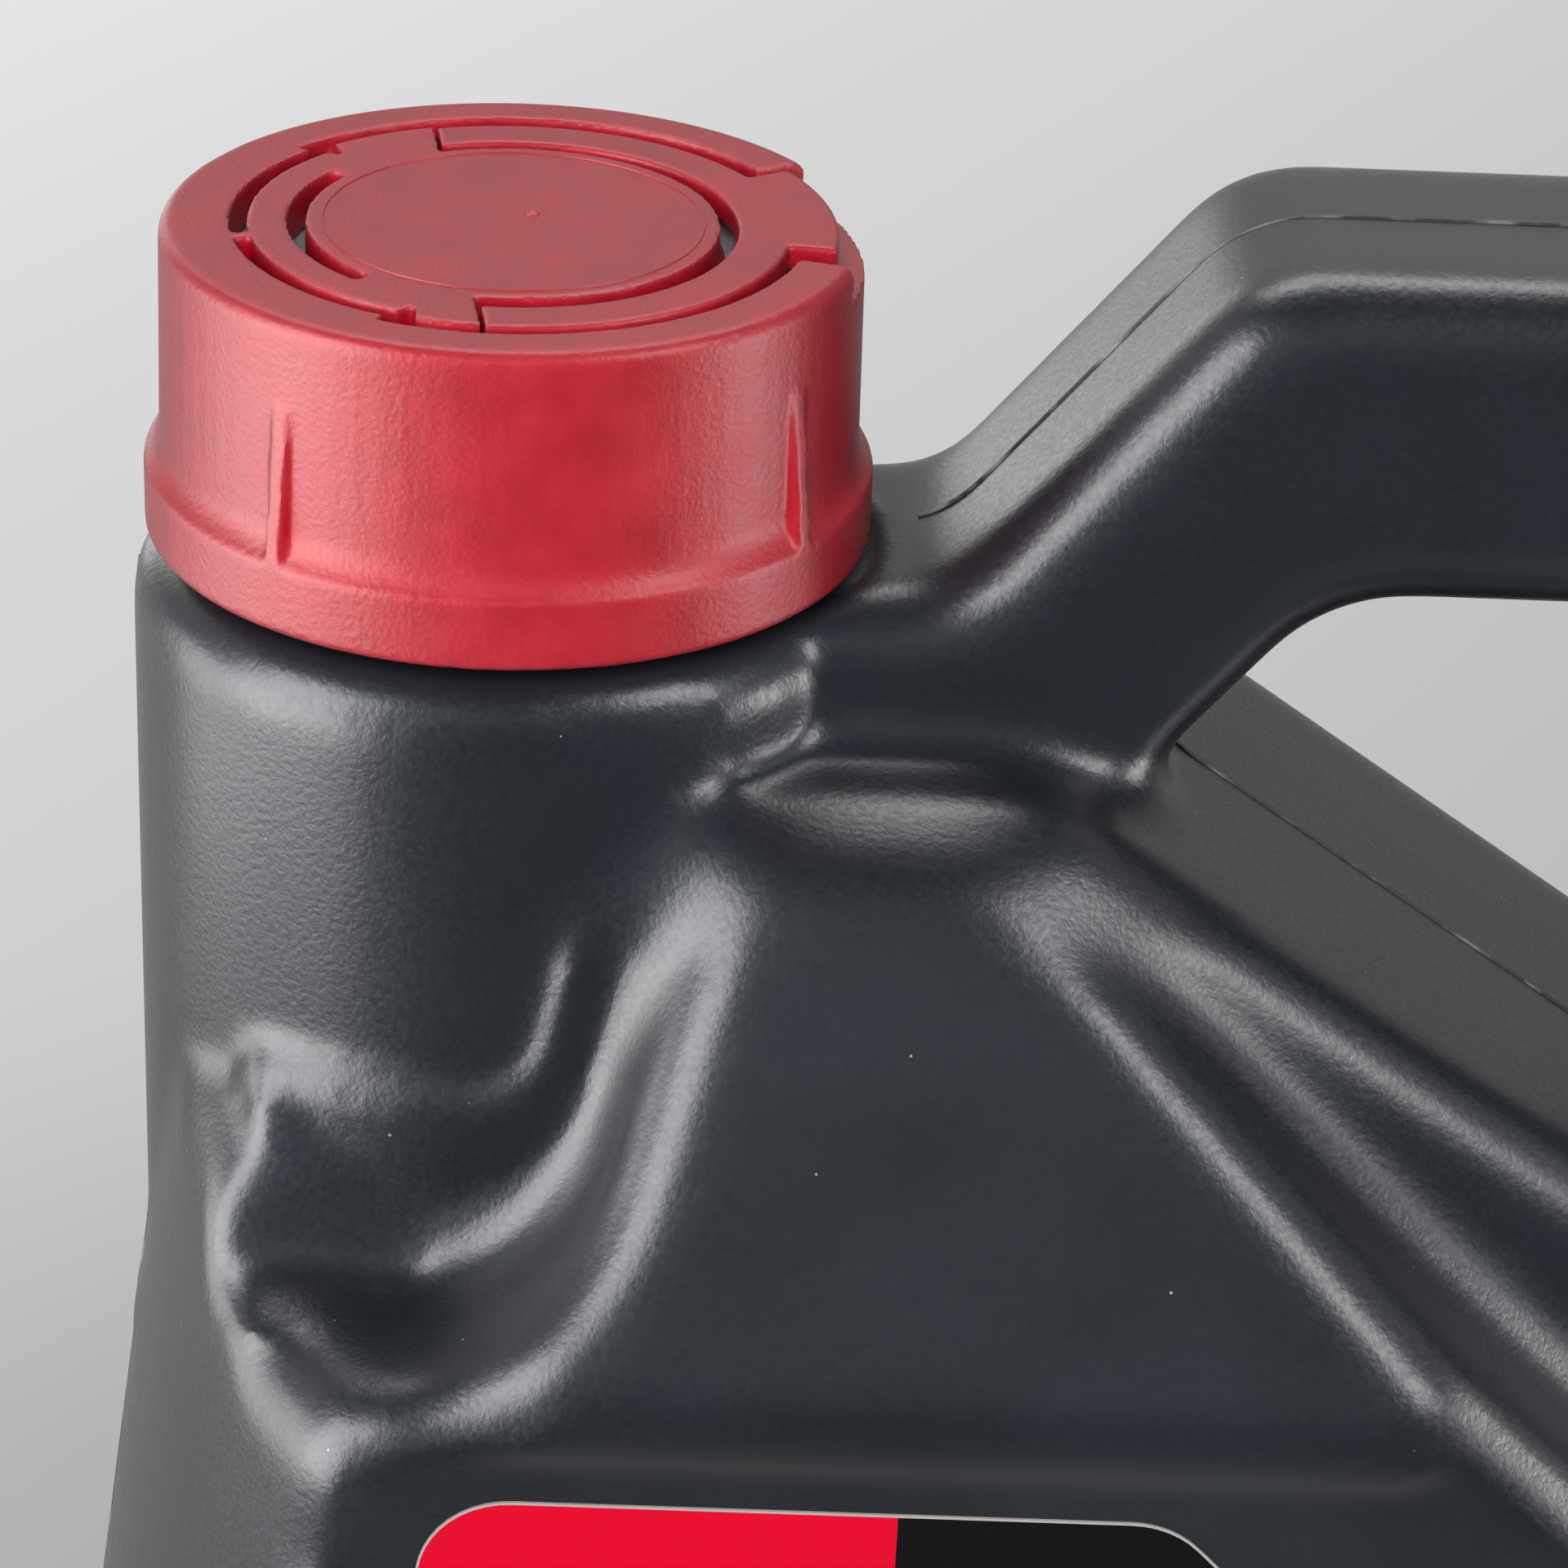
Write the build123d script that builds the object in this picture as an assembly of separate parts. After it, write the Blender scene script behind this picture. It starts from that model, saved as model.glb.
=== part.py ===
# Four-litre oil can: a blow-moulded bottle with its handle, a screw cap with a lift-up pull ring,
# the sealing wad inside the cap and the front label.
# Millimetres. The origin is the middle of the base, +Z is up and the label faces -Y.
# In the front view, points are given from the neck's axis and from the cap's lower edge.
# Angles on the cap are seen from above, anticlockwise from +X.
import os
from math import acos, atan2, cos, degrees, radians, sin, tan

from build123d import *

# Bottle, overall
body_width = 190.0
body_depth = 114.0
neck_from_left = 45.0
seat_height = 280.0
wall = 1.6

# Barrel and neck
barrel_radius = 32.3
barrel_edge = 5.0
barrel_top_drop = 1.5
neck_radius = 25.4
neck_wall = 2.2
lip_edge = 0.6

# Handle, and the web that joins it to the barrel
handle_depth = 36.0
handle_edge = 7.0
handle_rise = 30.0
handle_height = 29.0
handle_end_gap = 4.0
handle_end_width = 22.0
handle_corner = 26.0
web_rise = 0.5
arm_angle = 50.4
arm_foot = 37.1
arm_width = 25.0
arm_foot_round = 10.0
arm_top_round = 13.0
arm_root_round = 5.0
grip_corner = 14.0
grip_lengths_per_end_corner = 3.0
grip_sink = 4.5

# Shoulder block: a flat roof beside the barrel, then a slope down to the right
shoulder_depth = 68.0
shoulder_edge = 8.0
shoulder_length = 120.0
roof_drop = 12.4
slope_start = 48.0
slope_angle = 34.3
slope_round = 20.0
slope_end_round = 14.0

# Scalloped collar round the foot of the barrel
collar_step = 1.9
collar_foot = 80.0
scallop_drop = 39.0
scallop_left = 20.5
scallop_right = 4.2
scallop_waist = 7.6
scallop_waist_drop = 21.5
scallop_shoulder = 17.0
scallop_point = 3.0
scallop_round = 7.0

# Left end of the body: a gable falls from the barrel's foot to the front and back
gable_drop = 34.0
gable_angle = 21.6
gable_round = 20.0
gable_right = 9.0
nose_edge = 7.0
nose_set_in = 0.05
ridge_left = 19.0

# Shield: the body with its front and back panels, which lean back above the label
knee_drop = 54.0
knee_round = 6.0
shield_edge = 8.0
shield_proud = 0.4
shield_top_drop = 14.0
shield_top_left = 19.0
shield_top_round = 10.0
valley_drop = 56.0
valley_right = 6.0
valley_round = 22.0
ledge_angle = 43.5
ledge_start = 42.8
ledge_round = 10.0
ledge_foot_round = 7.0

# Body plan: an arched nose at the left that flares out going down, a squarer right end
nose_run = 20.0
nose_corner = 10.0
right_corner = 24.0
flare_foot_drop = 172.0
flare_per_mm = 0.126
base_edge = 7.0
base_dish_margin = 16.0
base_dish_depth = 2.5

# Label panels, front and back
recess_depth = 1.0
recess_top_drop = 58.5
recess_left = 8.5
recess_bend = 15.0
recess_bend_drop = 80.0
recess_foot_left = 21.0
recess_foot_height = 22.0
pad_right = 83.0
pad_corner = 7.0

# Front label
label_thickness = 0.25
label_top_drop = 63.6
label_left = 3.0
label_foot_left = 14.0
label_bend_drop = 150.0
label_top_right = 58.5
label_right = 112.0
label_right_angle = 46.0
label_foot_height = 30.0
label_corner = 8.0

# Cap
cap_height = 27.0
cap_base_radius = 31.2
cap_skirt_radius = 29.85
cap_draft = 0.25
cap_flange_height = 6.0
cap_flare_height = 3.0
cap_wall = 2.0
cap_top_edge = 1.2
cap_base_edge = 0.4
cap_side_gap = 0.6
cap_plate = 3.8
gusset_width = 1.7
gusset_top = 19.5
gusset_angle = 234.5
gusset_count = 4

# Slots and grooves in the cap's top, round the pull ring
disc_radius = 17.4
inner_groove = 1.5
outer_groove = 1.4
channel_depth = 2.8
stub_depth = 1.6
left_ring_radius = 22.3
left_slot_start = 139.0
left_slot_end = 248.0
bridge_angle = 194.0
bridge_half_angle = 1.4
inner_slot_start = 148.0
inner_slot_end = 230.5
notch_tip_radius = 20.7
notch_angles = (137.5, 250.5)
notch_half_angle = 4.0

# Pull ring: an arc hinged on a chord of the cap's top, with a tab in a notch of the rim
ring_width = 4.5
ring_drop = 0.1
ring_gap = 0.3
ring_edge = 0.35
hinge_offset = 4.8
hinge_direction = 188.5
tab_start = -8.0
tab_end = 33.0
tab_radius = 27.4
tab_slit_angle = 7.0
tab_side_gap_angle = 1.2
tab_notch_depth = 3.3
window_start = -25.0
window_margin = 0.5

# Sealing wad
wad_thickness = 1.5
wad_gap = 0.3
wad_side_gap = 0.6

# Worked out
neck_x = neck_from_left - body_width / 2
right_end = body_width - neck_from_left
half_depth = body_depth / 2
shoulder_half = shoulder_depth / 2
block_end = right_end - handle_end_gap
barrel_top = seat_height - barrel_top_drop
collar_radius = barrel_radius + collar_step
slope_fall = tan(radians(slope_angle))
ledge_fall = tan(radians(ledge_angle))
arm_climb = tan(radians(arm_angle))
cap_bore = cap_skirt_radius - cap_wall
plate_under = cap_height - cap_plate
lip_rise = plate_under - wad_thickness - 2 * wad_gap
ring_inner = disc_radius + inner_groove
ring_outer = ring_inner + ring_width
groove_radius = ring_outer + outer_groove
chord_half_angle = degrees(acos(hinge_offset / groove_radius))
ring_thickness = channel_depth - ring_gap - ring_drop
cap_place = Pos(neck_x, 0, seat_height)
far = 2 * body_width
edge_reach = 1.0


def at(across, rise):
    """A point of the front view, from the neck's axis and the cap's lower edge."""
    return (neck_x + across, seat_height + rise)


def front_face(points, radii):
    """A closed front-view outline with rounded corners."""
    return Plane.XZ * make_face(FilletPolyline(points, radius=radii, close=True))


def slope_rise(across):
    """Height of the shoulder's slope."""
    return -roof_drop - (across - slope_start) * slope_fall


def ledge_rise(across):
    """Height of the ledge along the shield's right edge."""
    return -shield_top_drop - (across - ledge_start) * ledge_fall


def crest_rise(across):
    """Height of the shoulder's top: its roof, then its slope."""
    return min(-roof_drop, slope_rise(across))


def rim_edges(faces):
    """Edges that run round a group of faces, without those that two of them share."""
    edges = [edge for face in faces for edge in face.edges()]
    return [edge for edge in edges if sum(edge.is_same(other) for other in edges) == 1]


def foot_edges(form, start, end, side, rise):
    """Edges between two distances across and within a block's sides that follow a height."""
    edges = []
    for edge in form.edges():
        middle = edge.position_at(0.5)
        across = middle.X - neck_x
        above = middle.Z - seat_height - rise(across)
        if start < across < end and abs(middle.Y) < side and abs(above) < edge_reach:
            edges.append(edge)
    return edges


def handle_form(inset):
    """Handle, arm and web as one rounded slab with the grip hole through it."""
    half = handle_depth / 2 - inset
    top = handle_rise - inset
    end = block_end - inset
    web = web_rise - inset
    foot = arm_foot + inset * (1 - cos(radians(arm_angle))) / sin(radians(arm_angle))
    deep = slope_rise(right_end) - handle_height
    slab = front_face(
        [
            at(0, deep),
            at(0, web),
            at(foot, web),
            at(foot + (top - web) / arm_climb, top),
            at(end, top),
            at(end, deep),
        ],
        [0, 0, arm_foot_round + inset, arm_top_round - inset, handle_corner - inset, 0],
    )
    under = handle_rise - handle_height + inset
    hole_end = block_end - handle_end_width + inset
    hole_start = arm_foot + (arm_width - inset) / sin(radians(arm_angle))
    hole_low = slope_rise(hole_start) - grip_sink
    hole_corner = hole_start + (under - web_rise) / arm_climb
    end_corner = (hole_end - hole_corner) / grip_lengths_per_end_corner
    hole = front_face(
        [
            at(hole_start + (hole_low - web_rise) / arm_climb, hole_low),
            at(hole_corner, under),
            at(hole_end, under),
            at(hole_end, slope_rise(hole_end) - grip_sink),
            at(hole_start, hole_low),
        ],
        [0, grip_corner + inset, end_corner, 0, 0],
    )
    body = extrude(slab, half, both=True) - extrude(hole, half, both=True)
    sides = body.faces().filter_by(Axis.Y)
    return fillet([edge for side in sides for edge in side.edges()], handle_edge - inset)


def shoulder_form(inset):
    """Block beside the barrel: the scallop's curve at its left, a flat roof, then the long slope."""
    end = block_end - inset
    roof = -roof_drop - inset
    sunk = inset / cos(radians(slope_angle))
    outline = front_face(
        [
            at(-scallop_right, roof - shoulder_length),
            at(-scallop_right, -scallop_drop - inset),
            at(scallop_right, -scallop_drop - inset),
            at(scallop_waist, -scallop_waist_drop - inset),
            at(scallop_shoulder, roof),
            at(slope_start + (inset - sunk) / slope_fall, roof),
            at(end, slope_rise(end) - sunk),
            at(end, roof - shoulder_length),
        ],
        [0, 0, scallop_round, scallop_round, scallop_round, slope_round, slope_end_round, 0],
    )
    block = extrude(outline, shoulder_half - inset, both=True)
    tops = [face for face in block.faces() if face.normal_at().Z > 0.1]
    long_edges = [edge for edge in rim_edges(tops) if abs(edge.tangent_at(0.5).Y) < 0.5]
    return fillet(long_edges, shoulder_edge - inset)


def collar_form(inset):
    """Sleeve round the foot of the barrel, its top cut to the scallop."""
    sleeve = Pos(neck_x, 0, seat_height - collar_foot) * extrude(Circle(collar_radius - inset), collar_foot)
    region = front_face(
        [
            at(-collar_radius, -collar_foot - 1),
            at(-scallop_left, -scallop_drop - inset),
            at(scallop_right, -scallop_drop - inset),
            at(scallop_waist, -scallop_waist_drop - inset),
            at(scallop_shoulder, -roof_drop - inset),
            at(collar_radius, -roof_drop - inset),
            at(collar_radius, -collar_foot - 1),
        ],
        [0, scallop_point, scallop_round, scallop_round, scallop_round, 0, 0],
    )
    return sleeve & extrude(region, collar_radius, both=True)


def barrel_form(inset):
    """Round barrel under the cap."""
    foot = seat_height - collar_foot
    barrel = Pos(neck_x, 0, foot) * extrude(Circle(barrel_radius - inset), barrel_top - inset - foot)
    rim = barrel.faces().sort_by(Axis.Z)[-1].edges()
    return fillet(rim, barrel_edge - inset)


def nose_plan(left, half, run, corner, right):
    """Plan with an arched left end, straight sides and a square right end."""
    start = neck_x - left
    end = neck_x + right
    sides = Polyline((start + run, half), (end, half), (end, -half), (start + run, -half))
    arch = ThreePointArc((start + run, -half), (start, 0), (start + run, half))
    face = make_face(sides + arch)
    return fillet(face.vertices().sort_by(Axis.X)[:2], corner)


def body_plan(left, inset):
    """Plan of the body: the arched nose and a rounded right end."""
    plan = nose_plan(left, half_depth - inset, nose_run, nose_corner - inset, right_end - inset)
    return fillet(plan.vertices().sort_by(Axis.X)[-2:], right_corner - inset)


def nose_form(inset):
    """Left end of the body, under a gable that falls from the barrel to the front and back.
    The gable stops at a ridge, so the barrel's collar stands free to the right of it."""
    foot = seat_height - flare_foot_drop
    crest = seat_height - gable_drop
    left = neck_from_left - nose_set_in - inset
    half = half_depth - nose_set_in - inset
    corner = nose_corner - inset
    full = nose_plan(left, half, nose_run, corner, gable_right)
    narrow = nose_plan(left - flare_per_mm * (crest - foot), half, nose_run, corner, gable_right)
    block = loft([Pos(0, 0, foot) * full, Pos(0, 0, crest) * narrow], ruled=True)
    top = crest - inset / cos(radians(gable_angle))
    eaves = top - body_depth * tan(radians(gable_angle))
    outline = [(body_depth, 0), (body_depth, eaves), (0, top), (-body_depth, eaves), (-body_depth, 0)]
    gable = FilletPolyline(outline, radius=[0, 0, gable_round - inset, 0, 0], close=True)
    block &= extrude(Plane.YZ * make_face(gable), far, both=True)
    roofs = [face for face in block.faces() if face.normal_at().Z > 0.5]
    rim = [edge for edge in rim_edges(roofs) if edge.center().X < neck_x]
    nose = fillet(rim, nose_edge - inset)
    shelf = -valley_drop - nose_edge - inset
    ridge = -ridge_left - inset
    hollow = front_face([at(ridge, shelf), at(far, shelf), at(far, 0), at(ridge, 0)], 0)
    return nose - extrude(hollow, far, both=True)


def shield_form(inset):
    """Body from the base up to the panels that lean back above the label."""
    foot = seat_height - flare_foot_drop
    crest = seat_height - shield_top_drop
    left = neck_from_left - inset
    full = body_plan(left, inset)
    narrow = body_plan(left - flare_per_mm * (crest - foot), inset)
    block = Pos(0, 0, inset) * extrude(full, foot - inset)
    block += loft([Pos(0, 0, foot) * full, Pos(0, 0, crest) * narrow], ruled=True)
    side = half_depth - inset
    lean = shoulder_half + shield_proud - inset
    back = [(side, 0), (side, seat_height - knee_drop), (lean, crest)]
    front = [(-y, z) for y, z in reversed(back)]
    profile = FilletPolyline(back + front, radius=[0, knee_round, 0, 0, knee_round, 0], close=True)
    block &= extrude(Plane.YZ * make_face(profile), far, both=True)
    slant = atan2(valley_drop - shield_top_drop, shield_top_left - valley_right)
    shift = inset * (1 - cos(slant)) / sin(slant)
    sunk = inset / cos(radians(ledge_angle))
    outline = front_face(
        [
            at(-far, -seat_height),
            at(-far, -valley_drop - inset),
            at(valley_right + shift, -valley_drop - inset),
            at(shield_top_left + shift, -shield_top_drop - inset),
            at(ledge_start + (inset - sunk) / ledge_fall, -shield_top_drop - inset),
            at(far, ledge_rise(far) - sunk),
            at(far, -seat_height),
        ],
        [0, 0, valley_round + inset, shield_top_round - inset, ledge_round, 0, 0],
    )
    block &= extrude(outline, far, both=True)
    level = [face for face in block.faces() if abs(face.normal_at().Y) < 0.01]
    tops = [face for face in level if face.normal_at().Z > 0.2]
    block = fillet(rim_edges(tops), shield_edge - inset)
    return fillet(block.faces().sort_by(Axis.Z)[0].edges(), base_edge - inset)


def label_panels(inset):
    """Space in front of the label panel and behind the one at the back."""
    outline = front_face(
        [
            at(-recess_left, -recess_top_drop),
            at(pad_right, -recess_top_drop),
            at(pad_right, 0),
            at(far, 0),
            at(far, recess_foot_height - seat_height),
            at(-recess_foot_left, recess_foot_height - seat_height),
            at(-recess_foot_left, -flare_foot_drop),
            at(-recess_bend, -recess_bend_drop),
        ],
        [0, pad_corner, 0, 0, 0, 0, 0, 0],
    )
    panel = Pos(0, recess_depth + inset - half_depth, 0) * extrude(outline, body_depth)
    return panel + mirror(panel, Plane.XZ)


def base_dish(inset):
    """Shallow hollow that leaves a foot round the base."""
    plan = offset(body_plan(neck_from_left, 0), inset - base_dish_margin)
    return extrude(plan, base_dish_depth + inset)


def cap_way(inset):
    """Room over the barrel for the cap's lower edge."""
    radius = cap_base_radius + cap_side_gap + inset
    return Pos(neck_x, 0, barrel_top - inset) * extrude(Circle(radius), cap_height)


def bottle_form(inset):
    """The whole blown form, or the space inside it when it is inset by the wall."""
    ledge_sunk = inset / cos(radians(ledge_angle))
    slope_sunk = inset / cos(radians(slope_angle))
    form = shield_form(inset) + shoulder_form(inset)
    side = shoulder_half - inset + edge_reach
    start = slope_start + ledge_round
    foot = foot_edges(form, start, block_end, side, lambda across: ledge_rise(across) - ledge_sunk)
    form = fillet(foot, ledge_foot_round + inset)
    form = form + nose_form(inset) + barrel_form(inset) + collar_form(inset) + handle_form(inset)
    side = handle_depth / 2 - inset + edge_reach
    end = block_end - handle_end_width - handle_edge
    root = foot_edges(form, scallop_shoulder, end, side, lambda across: crest_rise(across) - slope_sunk)
    form = fillet(root, arm_root_round + inset)
    return form - label_panels(inset) - base_dish(inset) - cap_way(inset)


def make_bottle():
    """Hollow bottle, open at the neck."""
    bottle = bottle_form(0)
    root = barrel_top - barrel_edge - wall
    lip = seat_height + lip_rise
    neck = Pos(neck_x, 0, root) * extrude(Circle(neck_radius), lip - root)
    bore = Pos(neck_x, 0, root) * extrude(Circle(neck_radius - neck_wall), lip - root)
    neck = fillet(neck.faces().sort_by(Axis.Z)[-1].edges(), lip_edge)
    bottle += neck
    return bottle - bottle_form(wall) - bore


def make_label():
    """Front label, lying on the floor of its panel."""
    drop = (label_right - label_top_right) * tan(radians(label_right_angle))
    foot = label_foot_height - seat_height
    outline = front_face(
        [
            at(-label_left, -label_top_drop),
            at(label_top_right, -label_top_drop),
            at(label_right, -label_top_drop - drop),
            at(label_right, foot),
            at(-label_foot_left, foot),
            at(-label_foot_left, -label_bend_drop),
        ],
        label_corner,
    )
    return Pos(0, recess_depth - half_depth, 0) * extrude(outline, label_thickness)


def sector(inner, outer, start, end):
    """Flat piece of a ring between two angles."""
    outside = CenterArc((0, 0), outer, start, end - start)
    inside = CenterArc((0, 0), inner, start, end - start)
    sides = Line(outside @ 0, inside @ 0) + Line(outside @ 1, inside @ 1)
    return make_face(outside + inside + sides)


def cut_down(face, depth):
    """Space over a flat shape, from the cap's top down to a depth."""
    return Pos(0, 0, cap_height - depth) * extrude(face, depth)


def hinge_side(distance):
    """Everything on the pull ring's side of a chord of the cap's top."""
    return Rot(0, 0, hinge_direction) * Pos(distance - far / 2, 0) * Rectangle(far, far)


def cap_shell():
    """Cap before its top is slotted: skirt, flange, gussets and plate."""
    skirt = (cap_skirt_radius, cap_flange_height + cap_flare_height)
    flange = (cap_base_radius, cap_flange_height)
    flare = TangentArc(skirt, flange, tangent=(0, -1))
    rest = Polyline(
        flange,
        (cap_base_radius, 0),
        (cap_bore, 0),
        (cap_bore, plate_under),
        (0, plate_under),
        (0, cap_height),
        (cap_skirt_radius - cap_draft, cap_height),
        skirt,
    )
    shell = revolve(Plane.XZ * make_face(flare + rest), Axis.Z)
    shell = fillet(shell.edges().group_by(Axis.Z)[-1], cap_top_edge)
    shell = fillet(shell.edges().group_by(Axis.Z)[0], cap_base_edge)
    inside = cap_skirt_radius - cap_wall / 2
    fin = Polyline(
        (inside, cap_flange_height / 2),
        (cap_base_radius, cap_flange_height / 2),
        (cap_base_radius, cap_flange_height),
        (cap_skirt_radius, gusset_top),
        (inside, gusset_top),
        close=True,
    )
    gusset = extrude(Plane.XZ * make_face(fin), gusset_width / 2, both=True)
    for place in PolarLocations(0, gusset_count, start_angle=gusset_angle):
        shell += place * gusset
    return shell


def notch(angle):
    """V-shaped cut at an end of the left slot."""
    tip = (notch_tip_radius * cos(radians(angle)), notch_tip_radius * sin(radians(angle)))
    mouth = CenterArc((0, 0), groove_radius, angle - notch_half_angle, 2 * notch_half_angle)
    return make_face(mouth + Line(mouth @ 0, tip) + Line(mouth @ 1, tip))


def make_cap():
    """Cap with the channel that the pull ring lies in, and the slots round it."""
    cap = cap_shell()
    ring_way = Circle(groove_radius) - Circle(disc_radius)
    cap -= cut_down(ring_way & hinge_side(hinge_offset), channel_depth)
    left_slot = left_ring_radius + outer_groove
    for start, end in (
        (left_slot_start, bridge_angle - bridge_half_angle),
        (bridge_angle + bridge_half_angle, left_slot_end),
    ):
        cap -= cut_down(sector(left_ring_radius, left_slot, start, end), cap_plate)
    cap -= cut_down(sector(disc_radius, ring_inner, inner_slot_start, inner_slot_end), cap_plate)
    for side, angle in zip((-1, 1), notch_angles):
        cap -= cut_down(notch(angle), cap_plate)
        start, end = sorted((angle, hinge_direction + side * chord_half_angle))
        cap -= cut_down(sector(ring_outer, groove_radius, start, end), stub_depth)
    tab_way_end = tab_end + tab_side_gap_angle
    tab_way = sector(ring_outer, cap_base_radius, tab_start - tab_slit_angle, tab_way_end)
    cap -= cut_down(tab_way, tab_notch_depth)
    window = sector(disc_radius + window_margin, groove_radius - window_margin, window_start, tab_way_end)
    return cap - cut_down(window, cap_plate)


def make_pull_ring():
    """Arc of the ring on the hinge's free side, with its tab."""
    arc = Circle(ring_outer) - Circle(ring_inner)
    outline = (arc & hinge_side(hinge_offset - ring_gap)) + sector(ring_inner, tab_radius, tab_start, tab_end)
    ring = Pos(0, 0, cap_height - ring_drop - ring_thickness) * extrude(outline, ring_thickness)
    tops = ring.faces().sort_by(Axis.Z)
    return fillet(tops[0].edges() + tops[-1].edges(), ring_edge)


def make_wad():
    """Sealing wad between the neck's lip and the cap's plate."""
    return Pos(0, 0, lip_rise + wad_gap) * extrude(Circle(cap_bore - wad_side_gap), wad_thickness)


os.makedirs("parts", exist_ok=True)
export_step(make_bottle(), "parts/bottle.step")
export_step(make_label(), "parts/front_label.step")
export_step(cap_place * make_cap(), "parts/cap.step")
export_step(cap_place * make_pull_ring(), "parts/pull_ring.step")
export_step(cap_place * make_wad(), "parts/cap_liner.step")
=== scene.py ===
# Looks of a four-litre oil can: the blown bottle, its red screw cap with a pull ring, the wad and the label.
# Metres, in the part's own frame. The label faces -Y.
from math import radians

import bmesh
import bpy
from mathutils import Matrix, Vector


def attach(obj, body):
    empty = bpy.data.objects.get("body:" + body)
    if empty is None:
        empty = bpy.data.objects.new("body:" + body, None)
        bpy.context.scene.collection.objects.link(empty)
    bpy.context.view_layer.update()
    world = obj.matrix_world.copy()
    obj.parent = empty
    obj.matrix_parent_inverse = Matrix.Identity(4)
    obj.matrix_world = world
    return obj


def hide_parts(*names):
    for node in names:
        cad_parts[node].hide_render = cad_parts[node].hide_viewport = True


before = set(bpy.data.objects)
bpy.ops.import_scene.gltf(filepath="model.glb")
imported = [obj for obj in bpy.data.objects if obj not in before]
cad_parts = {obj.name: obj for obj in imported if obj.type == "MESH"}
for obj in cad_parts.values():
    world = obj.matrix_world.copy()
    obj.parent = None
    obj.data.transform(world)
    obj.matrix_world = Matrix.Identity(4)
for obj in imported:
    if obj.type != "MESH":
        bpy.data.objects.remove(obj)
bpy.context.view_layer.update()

MM = 0.001
NECK_X = -50 * MM
SEAT_Z = 280 * MM
CAP_TOP = 307 * MM
BORE_RADIUS = 23.2 * MM
PANEL_TOP = 221.5 * MM
PANEL_DEPTH = 52 * MM
LABEL_SPLIT = -14.2 * MM

SHARP_ANGLE = radians(40)
SKIN_VOXEL = 0.9 * MM
CAP_VOXEL = 0.32 * MM
RING_VOXEL = 0.25 * MM
MOST_TRIANGLES = 150000
MOST_RING_TRIANGLES = 40000

HDPE_IOR = 1.54
FILM_IOR = 1.49

# Blocks under the barrel, in millimetres: left, right, front, back, low, high, and the wall that leans:
# 1 is the one away from the middle, -1 the one towards it, 0 neither.
NOSE_WALL = (-70, -51, 40.9, 15, 214, 238.5, 1)
NOSE_GROOVE = (-70.5, -62, 41, 28, 212, 224.5, 0)
NOSE_CORNER = (-82, -66, 62, 36.5, 224.6, 237, -1)
NOSE_LEAN = 0.43

# Boxes that are softened more, in millimetres: low corner, high corner, growth of each axis and passes.
SOFT_BOXES = (
    ((-78, 26, 222), (-62, 42, 234), (1, 1, 1), 4),  # round columns at the left end
    ((-79, 38, 209), (-58, 60, 227), (1, 1, 1), 7),  # corners under the barrel
    ((-54, 42, 227), (-30, 60, 252), (1, 1, 1), 3),  # left edges of the shields
    ((-40, 29, 259), (12, 45, 274), (2, 1, 1), 12),  # upper ends of the shields
)

CAN = (-0.03, 0, 0.25)
# Softboxes that only the gloss sees: name, place, aim, width, height and power in watts.
GLOSS_LAMPS = (
    ("left_softbox", (-0.41, -0.21, 0.36), (-0.05, 0, 0.36), 0.30, 0.56, 5),
    ("left_strip", (-0.47, 0.02, 0.19), (0, 0.02, 0.19), 0.22, 0.28, 0.9),
    ("right_softbox", (0.60, -0.42, 0.80), CAN, 0.3, 0.5, 5),
    ("right_strip", (0.48, -0.02, 0.17), (0, -0.02, 0.17), 0.24, 0.3, 2.7),
    ("overhead_strip", (-0.05, 0.40, 1.0), CAN, 0.8, 0.3, 5),
    ("back_left_strip", (-0.50, 0.85, 0.40), CAN, 0.3, 0.6, 1.4),
)
PAPER_RADIUS = 2.6
PAPER_BEND = 0.7


def linear(code):
    """An sRGB hex colour as linear RGBA."""
    parts = [int(code[i:i + 2], 16) / 255 for i in (1, 3, 5)]
    return [p / 12.92 if p <= 0.04045 else ((p + 0.055) / 1.055) ** 2.4 for p in parts] + [1.0]


def per(size):
    """Scale of a pattern whose features are this many millimetres across."""
    return 1 / (size * MM)


def wire(tree, node, feeds=None, values=None):
    """Sets the values on a node's sockets and links the sockets that feed it."""
    for name, value in (values or {}).items():
        node.inputs[name].default_value = value
    for name, socket in (feeds or {}).items():
        tree.links.new(socket, node.inputs[name])


def add(tree, kind, feeds=None, values=None, **settings):
    """Adds a node with its settings, the values on its sockets and the sockets that feed it."""
    node = tree.nodes.new("ShaderNode" + kind)
    for name, value in settings.items():
        setattr(node, name, value)
    wire(tree, node, feeds, values)
    return node


def begin(name):
    """A new material, its node tree, its shader and its Object coordinates."""
    material = bpy.data.materials.new(name)
    material.use_nodes = True
    tree = material.node_tree
    place = add(tree, "TexCoord").outputs["Object"]
    return material, tree, tree.nodes["Principled BSDF"], place


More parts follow.
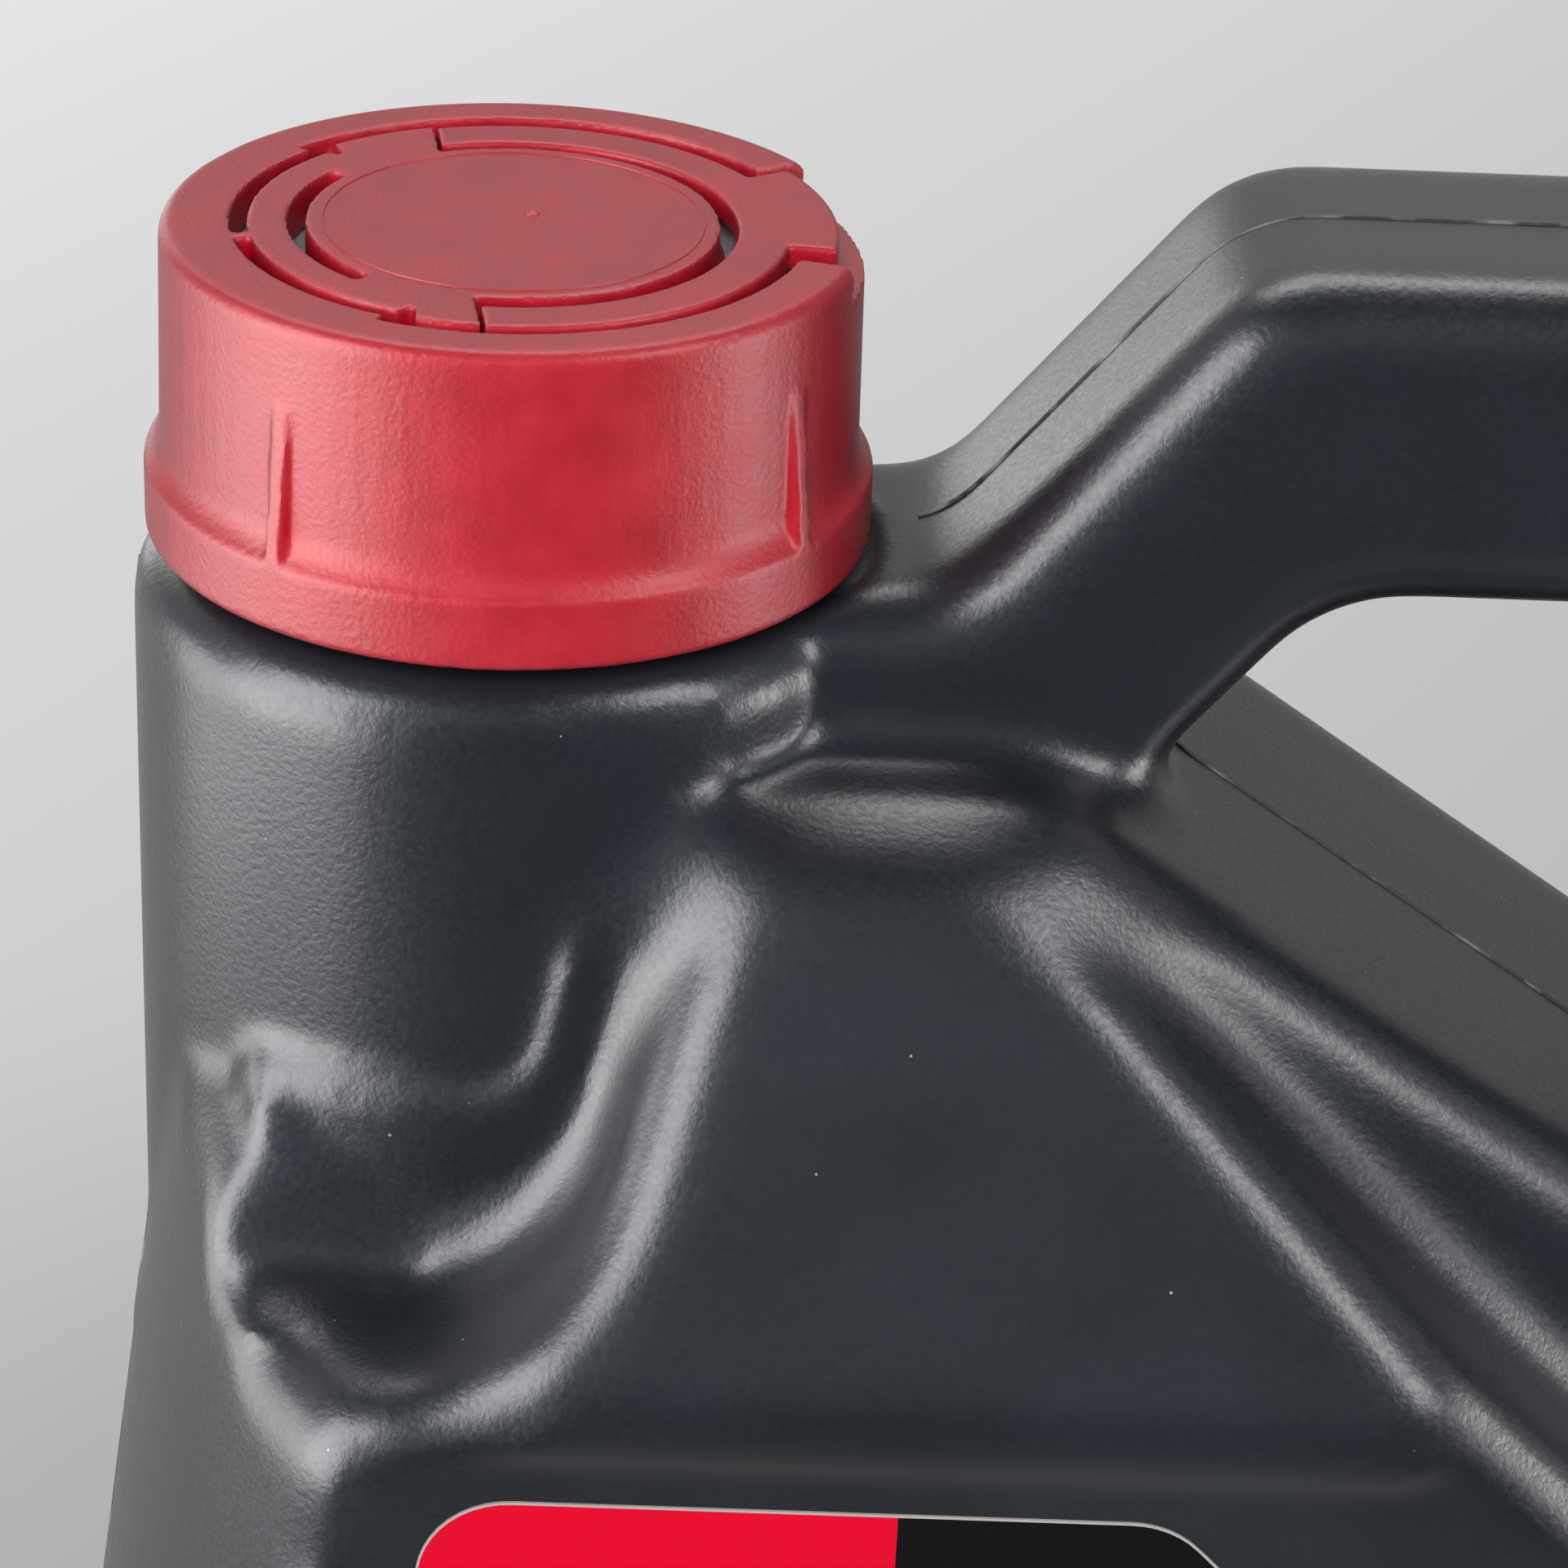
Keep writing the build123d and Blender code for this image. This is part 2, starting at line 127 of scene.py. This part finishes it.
def blown_polyethylene():
    """Dark slate HDPE, blow-moulded in a sand-blasted mould: satin, with a fine leathery grain that
    breaks up every highlight, specks of dust and, on the slope under the handle, fine dark scratches."""
    material, tree, shader, place = begin("blown_hdpe_slate")
    grain = add(tree, "TexNoise", {"Vector": place}, {"Scale": per(0.55), "Detail": 2.0, "Roughness": 0.55})
    flow = add(tree, "TexNoise", {"Vector": place}, {"Scale": per(16), "Detail": 1.0})
    tone = add(tree, "MapRange", {"Value": flow.outputs["Fac"]}, {"From Min": 0.3, "From Max": 0.7})
    slate = add(tree, "Mix", {0: tone.outputs["Result"]},
                {6: linear("#1c2026"), 7: linear("#21262d")}, data_type="RGBA")
    cells = add(tree, "TexVoronoi", {"Vector": place}, {"Scale": per(3.6)})
    size = add(tree, "SeparateColor", {"Color": cells.outputs["Color"]})
    reach = add(tree, "MapRange", {"Value": size.outputs["Red"]},
                {"From Min": 0.4, "From Max": 1.0, "To Min": 0.0, "To Max": 0.04})
    speck = add(tree, "Math", {0: cells.outputs["Distance"], 1: reach.outputs["Result"]},
                operation="LESS_THAN")
    dusty = add(tree, "Mix", {0: speck.outputs[0], 6: slate.outputs[2]},
                {7: linear("#9aa0a6")}, data_type="RGBA")
    across = add(tree, "Mapping", {"Vector": place},
                 {"Rotation": (0, radians(36), radians(50)), "Scale": (9 * MM, 0.3 * MM, 0.3 * MM)},
                 vector_type="TEXTURE")
    scratches = add(tree, "TexNoise", {"Vector": across.outputs[0]}, {"Scale": 1.0, "Detail": 1.0})
    line = add(tree, "MapRange", {"Value": scratches.outputs["Fac"]}, {"From Min": 0.68, "From Max": 0.72})
    facing = add(tree, "SeparateXYZ", {"Vector": add(tree, "NewGeometry").outputs["Normal"]})
    upward = add(tree, "MapRange", {"Value": facing.outputs["Z"]}, {"From Min": 0.7, "From Max": 0.8})
    along = add(tree, "SeparateXYZ", {"Vector": place})
    rightward = add(tree, "MapRange", {"Value": along.outputs["X"]},
                    {"From Min": 5 * MM, "From Max": 15 * MM})
    where = add(tree, "Math", {0: upward.outputs["Result"], 1: rightward.outputs["Result"]},
                operation="MULTIPLY")
    scratched = add(tree, "Math", {0: line.outputs["Result"], 1: where.outputs[0]}, operation="MULTIPLY")
    colour = add(tree, "Mix", {0: scratched.outputs[0], 6: dusty.outputs[2]},
                 {7: linear("#0b0c0e")}, data_type="RGBA")
    satin = add(tree, "MapRange", {"Value": grain.outputs["Fac"]},
                {"From Min": 0.3, "From Max": 0.7, "To Min": 0.28, "To Max": 0.38})
    relief = add(tree, "Bump", {"Height": grain.outputs["Fac"]}, {"Strength": 0.45, "Distance": 0.08 * MM})
    wire(tree, shader, {"Base Color": colour.outputs[2], "Roughness": satin.outputs["Result"],
                        "Normal": relief.outputs["Normal"]}, {"IOR": HDPE_IOR})
    return material


def scuffed_polyethylene():
    """The same HDPE where the mould's halves pinched it: a thin flash, rubbed pale in flecks."""
    material, tree, shader, place = begin("scuffed_hdpe_slate")
    rub = add(tree, "TexNoise", {"Vector": place}, {"Scale": per(5), "Detail": 3.0})
    fleck = add(tree, "MapRange", {"Value": rub.outputs["Fac"]}, {"From Min": 0.5, "From Max": 0.7})
    colour = add(tree, "Mix", {0: fleck.outputs["Result"]},
                 {6: linear("#23272d"), 7: linear("#85888c")}, data_type="RGBA")
    wire(tree, shader, {"Base Color": colour.outputs[2]}, {"Roughness": 0.5, "IOR": HDPE_IOR})
    return material


def frosted_polyethylene():
    """Red HDPE, injection-moulded: waxy and slightly translucent, with a frosted skin that turns
    pink where light grazes it and cloudy flow marks under the skin."""
    material, tree, shader, place = begin("moulded_hdpe_red")
    cloud = add(tree, "TexNoise", {"Vector": place}, {"Scale": per(5), "Detail": 4.0, "Roughness": 0.6})
    tone = add(tree, "MapRange", {"Value": cloud.outputs["Fac"]}, {"From Min": 0.3, "From Max": 0.7})
    red = add(tree, "Mix", {0: tone.outputs["Result"]},
              {6: linear("#ae0820"), 7: linear("#c01128")}, data_type="RGBA")
    frost = add(tree, "TexNoise", {"Vector": place}, {"Scale": per(0.5), "Detail": 3.0})
    satin = add(tree, "MapRange", {"Value": cloud.outputs["Fac"]},
                {"From Min": 0.3, "From Max": 0.7, "To Min": 0.42, "To Max": 0.5})
    relief = add(tree, "Bump", {"Height": frost.outputs["Fac"]}, {"Strength": 0.7, "Distance": 0.09 * MM})
    wire(tree, shader, {"Base Color": red.outputs[2], "Roughness": satin.outputs["Result"],
                        "Normal": relief.outputs["Normal"]},
         {"IOR": HDPE_IOR, "Subsurface Weight": 0.12, "Subsurface Radius": (1.0, 0.25, 0.2),
          "Subsurface Scale": 1.2 * MM})
    return material


def printed_film(name, code):
    """Printed polypropylene film: one even ink under a smooth gloss, with a faint orange-peel from the wall
    that it is stuck to."""
    material, tree, shader, place = begin(name)
    peel = add(tree, "TexNoise", {"Vector": place}, {"Scale": per(2.5), "Detail": 1.0})
    relief = add(tree, "Bump", {"Height": peel.outputs["Fac"]}, {"Strength": 0.25, "Distance": 0.05 * MM})
    wire(tree, shader, {"Normal": relief.outputs["Normal"]},
         {"Base Color": linear(code), "Roughness": 0.32, "IOR": FILM_IOR, "Specular IOR Level": 0.12})
    return material


def foamed_wad():
    """Foamed polyethylene: light grey, dull, with a fine closed-cell pitting whose pits are painted darker
    as shade.
    """
    material, tree, shader, place = begin("foamed_pe_grey")
    cells = add(tree, "TexVoronoi", {"Vector": place}, {"Scale": per(0.5)})
    # The grey darkens towards each cell's middle, where the bump sinks: painted shade in the pits.
    tone = add(tree, "MapRange", {"Value": cells.outputs["Distance"]}, {"From Max": 0.6})
    grey = add(tree, "Mix", {0: tone.outputs["Result"]},
               {6: linear("#8d8f94"), 7: linear("#b2b4b8")}, data_type="RGBA")
    relief = add(tree, "Bump", {"Height": cells.outputs["Distance"]},
                 {"Strength": 0.4, "Distance": 0.05 * MM})
    wire(tree, shader, {"Base Color": grey.outputs[2], "Normal": relief.outputs["Normal"]},
         {"Roughness": 0.7})
    return material


def studio_paper():
    """Pale grey background paper: matt, with a faint tooth. Away from the can it glows instead of being lit,
    with a painted fall of light that is bright far to the left and darker to the right, and for the gloss a
    painted shade that dims it in front of the can."""
    material, tree, shader, place = begin("studio_paper")
    tooth = add(tree, "TexNoise", {"Vector": place}, {"Scale": per(3), "Detail": 2.0})
    relief = add(tree, "Bump", {"Height": tooth.outputs["Fac"]}, {"Strength": 0.05, "Distance": 0.1 * MM})
    wire(tree, shader, {"Normal": relief.outputs["Normal"]},
         {"Base Color": linear("#dcdcdb"), "Roughness": 0.9})
    # The glow's colour is a painted fall of light: paler far to the left and behind, darker to the right.
    axes = add(tree, "SeparateXYZ", {"Vector": place})
    depth = add(tree, "Math", {0: axes.outputs["Y"]}, {1: 0.6}, operation="MULTIPLY")
    lead = add(tree, "Math", {0: depth.outputs[0], 1: axes.outputs["X"]}, operation="SUBTRACT")
    painted_light_falloff = add(tree, "MapRange", {"Value": lead.outputs[0]}, {"From Min": 0.10, "From Max": 0.85})
    grey = add(tree, "Mix", {0: painted_light_falloff.outputs["Result"]},
               {6: linear("#bcbcbb"), 7: linear("#e7e7e7")}, data_type="RGBA")
    # For the gloss, the glow dims towards the front of the can: painted shade.
    front = add(tree, "MapRange", {"Value": axes.outputs["Y"]},
                {"From Min": -0.45, "From Max": 0.0, "To Min": 0.2, "To Max": 0.8})
    reach = add(tree, "VectorMath", {0: place}, operation="LENGTH")
    away = add(tree, "MapRange", {"Value": reach.outputs["Value"]},
               {"From Min": 0.16, "From Max": 0.45, "To Min": 0.35}, interpolation_type="SMOOTHSTEP")
    rays = add(tree, "LightPath").outputs
    level = add(tree, "Math", {0: rays["Is Camera Ray"], 1: front.outputs["Result"]}, operation="MAXIMUM")
    lit = add(tree, "Emission", {"Color": grey.outputs[2], "Strength": level.outputs[0]})
    seen = add(tree, "Math", {0: rays["Is Camera Ray"], 1: rays["Is Glossy Ray"]}, operation="MAXIMUM")
    shown = add(tree, "Math", {0: seen.outputs[0], 1: rays["Is Transmission Ray"]}, operation="MAXIMUM")
    share = add(tree, "Math", {0: shown.outputs[0], 1: away.outputs["Result"]}, operation="MULTIPLY")
    both = add(tree, "MixShader", {0: share.outputs[0], 1: shader.outputs[0], 2: lit.outputs[0]})
    wire(tree, tree.nodes["Material Output"], {"Surface": both.outputs[0]})
    return material


def merged(node):
    """A working copy of a node's mesh with its loose triangles joined."""
    bm = bmesh.new()
    bm.from_mesh(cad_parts[node].data)
    bmesh.ops.remove_doubles(bm, verts=bm.verts, dist=0.002 * MM)
    return bm


def held(name, bm):
    """An object that holds a working mesh."""
    mesh = bpy.data.meshes.new(name)
    bm.to_mesh(mesh)
    bm.free()
    thing = bpy.data.objects.new(name, mesh)
    bpy.context.scene.collection.objects.link(thing)
    return thing


def worked(bm, *steps):
    """A working mesh put through modifiers, each a kind with its settings."""
    thing = held("work", bm)
    for kind, settings in steps:
        modifier = thing.modifiers.new(kind, kind)
        for name, value in settings.items():
            setattr(modifier, name, value)
    result = bmesh.new()
    result.from_object(thing, bpy.context.evaluated_depsgraph_get())
    bpy.data.objects.remove(thing)
    return result


def remesh(voxel):
    """The step that makes one closed skin of a mesh, with this size of face."""
    return "REMESH", {"mode": "VOXEL", "voxel_size": voxel}


def cut_away(tool):
    """The step that takes another object's solid out of a mesh."""
    return "BOOLEAN", {"operation": "DIFFERENCE", "object": tool, "solver": "MANIFOLD"}


def thinned(bm, most):
    """The step that leaves a mesh this many triangles at most."""
    triangles = sum(len(face.verts) - 2 for face in bm.faces)
    return "DECIMATE", {"ratio": min(1, most / triangles)}


def piece(name, bm, body, slot, *finishes):
    """A finished piece: smooth except at its sharp edges, riding on a body."""
    for face in bm.faces:
        face.smooth = True
    for edge in bm.edges:
        edge.smooth = edge.calc_face_angle(0) < SHARP_ANGLE
    thing = held(name, bm)
    for finish in finishes:
        thing.data.materials.append(finish)
    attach(thing, body)
    return thing


def is_bore(face):
    """True on the neck's bore, which joins the bottle's outside to its inside."""
    centre = face.calc_center_median() - Vector((NECK_X, 0, 0))
    across = Vector((centre.x, centre.y, 0))
    return across.length < BORE_RADIUS + 0.1 * MM and face.normal.dot(across) < -0.9 * across.length


def closed_bottle():
    """The bottle's mesh without its bore, closed at both of the bore's ends."""
    bm = merged("bottle")
    bmesh.ops.delete(bm, geom=[face for face in bm.faces if is_bore(face)], context="FACES")
    bmesh.ops.holes_fill(bm, edges=[edge for edge in bm.edges if edge.is_boundary])
    bmesh.ops.recalc_face_normals(bm, faces=bm.faces)
    return bm


def soften(bm, verts, passes):
    """Rounds off the corners of a fine mesh."""
    for _ in range(passes):
        bmesh.ops.smooth_vert(bm, verts=verts, factor=0.5, use_axis_x=True, use_axis_y=True, use_axis_z=True)


def inside_box(skin, low, high):
    """Points of the skin in a box given in millimetres for its front half, and in the same box at the
    back."""
    x0, y0, z0 = [c * MM for c in low]
    x1, y1, z1 = [c * MM for c in high]
    return [v for v in skin.verts if x0 < v.co.x < x1 and y0 < abs(v.co.y) < y1 and z0 < v.co.z < z1]


def leaning_block(bm, left, right, front, back, low, high, lean):
    """A block at the front and one at the back, in millimetres. Each front or back wall named by lean
    falls towards the middle as it rises."""
    for side in (-1, 1):
        middle = Vector(((left + right) / 2, side * (front + back) / 2, (low + high) / 2)) * MM
        size = Vector((right - left, front - back, high - low, 1 / MM)) * MM
        shape = Matrix.Translation(middle) @ Matrix.Diagonal(size)
        corners = bmesh.ops.create_cube(bm, size=1, matrix=shape)["verts"]
        top = [v for v in corners if v.co.z > middle.z and (abs(v.co.y) - abs(middle.y)) * lean > 0]
        bmesh.ops.translate(bm, verts=top, vec=(0, -side * NOSE_LEAN * (high - low) * MM, 0))


def soft_skin(skin):
    """The outer skin, filled solid, with the soft corners that blowing gives. The label panels keep crisper
    edges, the shields' upper ends fade into the shoulder, and under the barrel the left end has a leaning
    wall between two round columns."""
    leaning_block(skin, *NOSE_WALL)
    leaning_block(skin, *NOSE_GROOVE)
    clearing = bmesh.new()
    leaning_block(clearing, *NOSE_CORNER)
    cutter = held("clearing", clearing)
    skin = worked(skin, remesh(SKIN_VOXEL), cut_away(cutter), remesh(SKIN_VOXEL))
    bpy.data.objects.remove(cutter)
    blown = [v for v in skin.verts if v.co.z > PANEL_TOP + 3 * MM or abs(v.co.y) < PANEL_DEPTH]
    soften(skin, skin.verts, 1)
    soften(skin, blown, 7)
    for grow in (3, 2, 1, 0):
        for low, high, growth, passes in SOFT_BOXES:
            wider_low = [c - g * grow for c, g in zip(low, growth)]
            wider_high = [c + g * grow for c, g in zip(high, growth)]
            soften(skin, inside_box(skin, wider_low, wider_high), passes)
    return skin


def make_bottle(finish, seam):
    """Bottle: the soft skin, solid but for the neck's bore, with the line where the mould's halves met."""
    skin = soft_skin(closed_bottle())
    make_parting_line(skin.copy(), seam)
    bore = bmesh.new()
    bmesh.ops.create_cone(bore, cap_ends=True, segments=96, radius1=BORE_RADIUS, radius2=BORE_RADIUS,
                          depth=60 * MM, matrix=Matrix.Translation((NECK_X, 0, 290 * MM)))
    way = held("bore", bore)
    skin = worked(skin, thinned(skin, MOST_TRIANGLES), cut_away(way))
    bpy.data.objects.remove(way)
    bottle = piece("bottle_skin", skin, "bottle", "bottle_plastic", finish)
    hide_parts("bottle")


def make_parting_line(skin, finish):
    """Fine ridge round the middle of the bottle, half sunk in the skin. The neck's is trimmed off."""
    everything = skin.verts[:] + skin.edges[:] + skin.faces[:]
    bmesh.ops.bisect_plane(skin, geom=everything, dist=0.01 * MM, plane_co=(0, 0, 0), plane_no=(0, 1, 0),
                           clear_inner=True, clear_outer=True)
    trimmed = [v for v in skin.verts
               if v.co.z < 1.5 * MM or v.co.z > SEAT_Z - 4 * MM and abs(v.co.x - NECK_X) < 34 * MM]
    bmesh.ops.delete(skin, geom=trimmed, context="VERTS")
    soften(skin, skin.verts, 12)
    line = held("parting_line_path", skin)
    bpy.ops.object.select_all(action="DESELECT")
    line.select_set(True)
    bpy.context.view_layer.objects.active = line
    bpy.ops.object.convert(target="CURVE")
    line.data.bevel_depth = 0.22 * MM
    line.data.bevel_resolution = 1
    line.data.use_fill_caps = True
    ridge = bmesh.new()
    mesh = bpy.data.meshes.new_from_object(line.evaluated_get(bpy.context.evaluated_depsgraph_get()))
    ridge.from_mesh(mesh)
    bpy.data.objects.remove(line)
    piece("parting_line", ridge, "bottle", "bottle_plastic", finish)


def make_moulding(name, node, voxel, most, finish):
    """A moulded piece in place of its node, with the slightly soft edges that a mould gives."""
    soft = worked(merged(node), remesh(voxel))
    soften(soft, soft.verts, 2)
    soft = worked(soft, thinned(soft, most))
    moulding = piece(name, soft, node, "cap_plastic", finish)
    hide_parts(node)


def spun(points):
    """A ring shape: a closed profile of (radius, height) points turned round the neck's axis."""
    bm = bmesh.new()
    corners = [bm.verts.new((NECK_X + radius, 0, height)) for radius, height in points]
    edges = [bm.edges.new((corners[i - 1], corners[i])) for i in range(len(corners))]
    bmesh.ops.spin(bm, geom=corners + edges, cent=(NECK_X, 0, 0), axis=(0, 0, 1), angle=radians(360),
                   steps=128, use_merge=True)
    bmesh.ops.recalc_face_normals(bm, faces=bm.faces)
    return bm


def make_cap_marks(finish):
    """Fine raised line near the edge of the cap's disc, and the gate mark near its middle."""
    low = CAP_TOP - 0.3 * MM
    high = CAP_TOP + 0.1 * MM
    line = spun([(15.7 * MM, low), (15.9 * MM, high), (16.1 * MM, high), (16.3 * MM, low)])
    piece("cap_disc_line", line, "cap", "cap_plastic", finish)
    gate = spun([(0.05 * MM, low), (0.05 * MM, high), (0.3 * MM, high + 0.1 * MM), (0.6 * MM, high),
                 (0.8 * MM, low)])
    bmesh.ops.translate(gate, verts=gate.verts, vec=(1.5 * MM, 1.5 * MM, 0))
    piece("cap_gate_mark", gate, "cap", "cap_plastic", finish)


def make_label(red, black, edge):
    """Film label: a red and a black field inside a narrow pale cut edge."""
    film = merged("front_label")
    front = [face for face in film.faces if face.normal.y < -0.9]
    whole = bmesh.ops.dissolve_faces(film, faces=front)["region"]
    bmesh.ops.inset_region(film, faces=whole, thickness=0.2 * MM)
    for face in film.faces:
        face.material_index = 2
    field = max((face for face in film.faces if face.normal.y < -0.9), key=lambda face: face.calc_area())
    geom = [field] + field.edges[:] + field.verts[:]
    cut = bmesh.ops.bisect_plane(film, geom=geom, dist=0.01 * MM, plane_co=(LABEL_SPLIT, 0, 0),
                                 plane_no=(1, 0, 0))
    for face in cut["geom"]:
        if isinstance(face, bmesh.types.BMFace):
            face.material_index = 0 if face.calc_center_median().x < LABEL_SPLIT else 1
    bmesh.ops.triangulate(film, faces=film.faces)
    label = piece("label_film", film, "bottle", "label_film", red, black, edge)
    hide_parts("front_label")


def make_paper():
    """Round sweep of pale paper under and behind the can."""
    sweep = bmesh.new()
    profile = ((0, 0, 0), (PAPER_RADIUS, 0, 0), (PAPER_RADIUS, 0, PAPER_RADIUS))
    corners = [sweep.verts.new(point) for point in profile]
    sweep.edges.new(corners[:2])
    sweep.edges.new(corners[1:])
    bmesh.ops.bevel(sweep, geom=[corners[1]], offset=PAPER_BEND, segments=16, profile=0.5,
                    affect="VERTICES", material=-1)
    bmesh.ops.spin(sweep, geom=sweep.verts[:] + sweep.edges[:], cent=(0, 0, 0), axis=(0, 0, 1),
                   angle=radians(360), steps=96, use_merge=True)
    bmesh.ops.remove_doubles(sweep, verts=sweep.verts, dist=0.01 * MM)
    bmesh.ops.recalc_face_normals(sweep, faces=sweep.faces)
    bmesh.ops.reverse_faces(sweep, faces=sweep.faces)
    for face in sweep.faces:
        face.smooth = True
    paper = held("paper_sweep", sweep)
    paper.data.materials.append(studio_paper())


def softbox(name, place, aim, width, height, power):
    """A rectangular softbox that faces a point, out of the camera's sight."""
    lamp = bpy.data.lights.new(name, "AREA")
    lamp.shape = "RECTANGLE"
    lamp.size = width
    lamp.size_y = height
    lamp.energy = power
    box = bpy.data.objects.new(name, lamp)
    box.location = place
    box.rotation_euler = (Vector(aim) - Vector(place)).to_track_quat("-Z", "Y").to_euler()
    box.visible_camera = False
    bpy.context.scene.collection.objects.link(box)
    return box


def make_lights():
    """A soft fill light in front, softboxes round the can for the gloss, and a dim room."""
    fill = softbox("front_fill", (-0.15, -1.0, 0.9), CAN, 0.8, 0.8, 15)
    fill.visible_glossy = False
    for lamp in GLOSS_LAMPS:
        softbox(*lamp).visible_diffuse = False
    world = bpy.data.worlds.new("studio_room")
    world.use_nodes = True
    wire(world.node_tree, world.node_tree.nodes["Background"],
         values={"Color": linear("#8f9092"), "Strength": 0.25})
    bpy.context.scene.world = world


def make_camera():
    """The camera at the photograph's place."""
    lens = bpy.data.cameras.new("camera")
    lens.lens = 112.5
    lens.sensor_width = 36
    camera = bpy.data.objects.new("camera", lens)
    camera.location = (-0.03218, -0.38602, 0.45568)
    camera.rotation_euler = (radians(62.464), radians(-2.2508), radians(0.1441))
    bpy.context.scene.collection.objects.link(camera)
    bpy.context.scene.camera = camera
    bpy.context.scene.view_settings.view_transform = "Standard"


make_paper()
make_lights()
make_camera()
slate = blown_polyethylene()
red = frosted_polyethylene()
make_bottle(slate, scuffed_polyethylene())
make_moulding("cap_moulding", "cap", CAP_VOXEL, MOST_TRIANGLES, red)
make_moulding("pull_ring_moulding", "pull_ring", RING_VOXEL, MOST_RING_TRIANGLES, red)
make_cap_marks(red)
make_label(printed_film("printed_film_red", "#e6002b"), printed_film("printed_film_black", "#121214"),
           printed_film("film_cut_edge", "#b9b4b2"))
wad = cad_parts["cap_liner"]
wad.data.materials.clear()
wad.data.materials.append(foamed_wad())
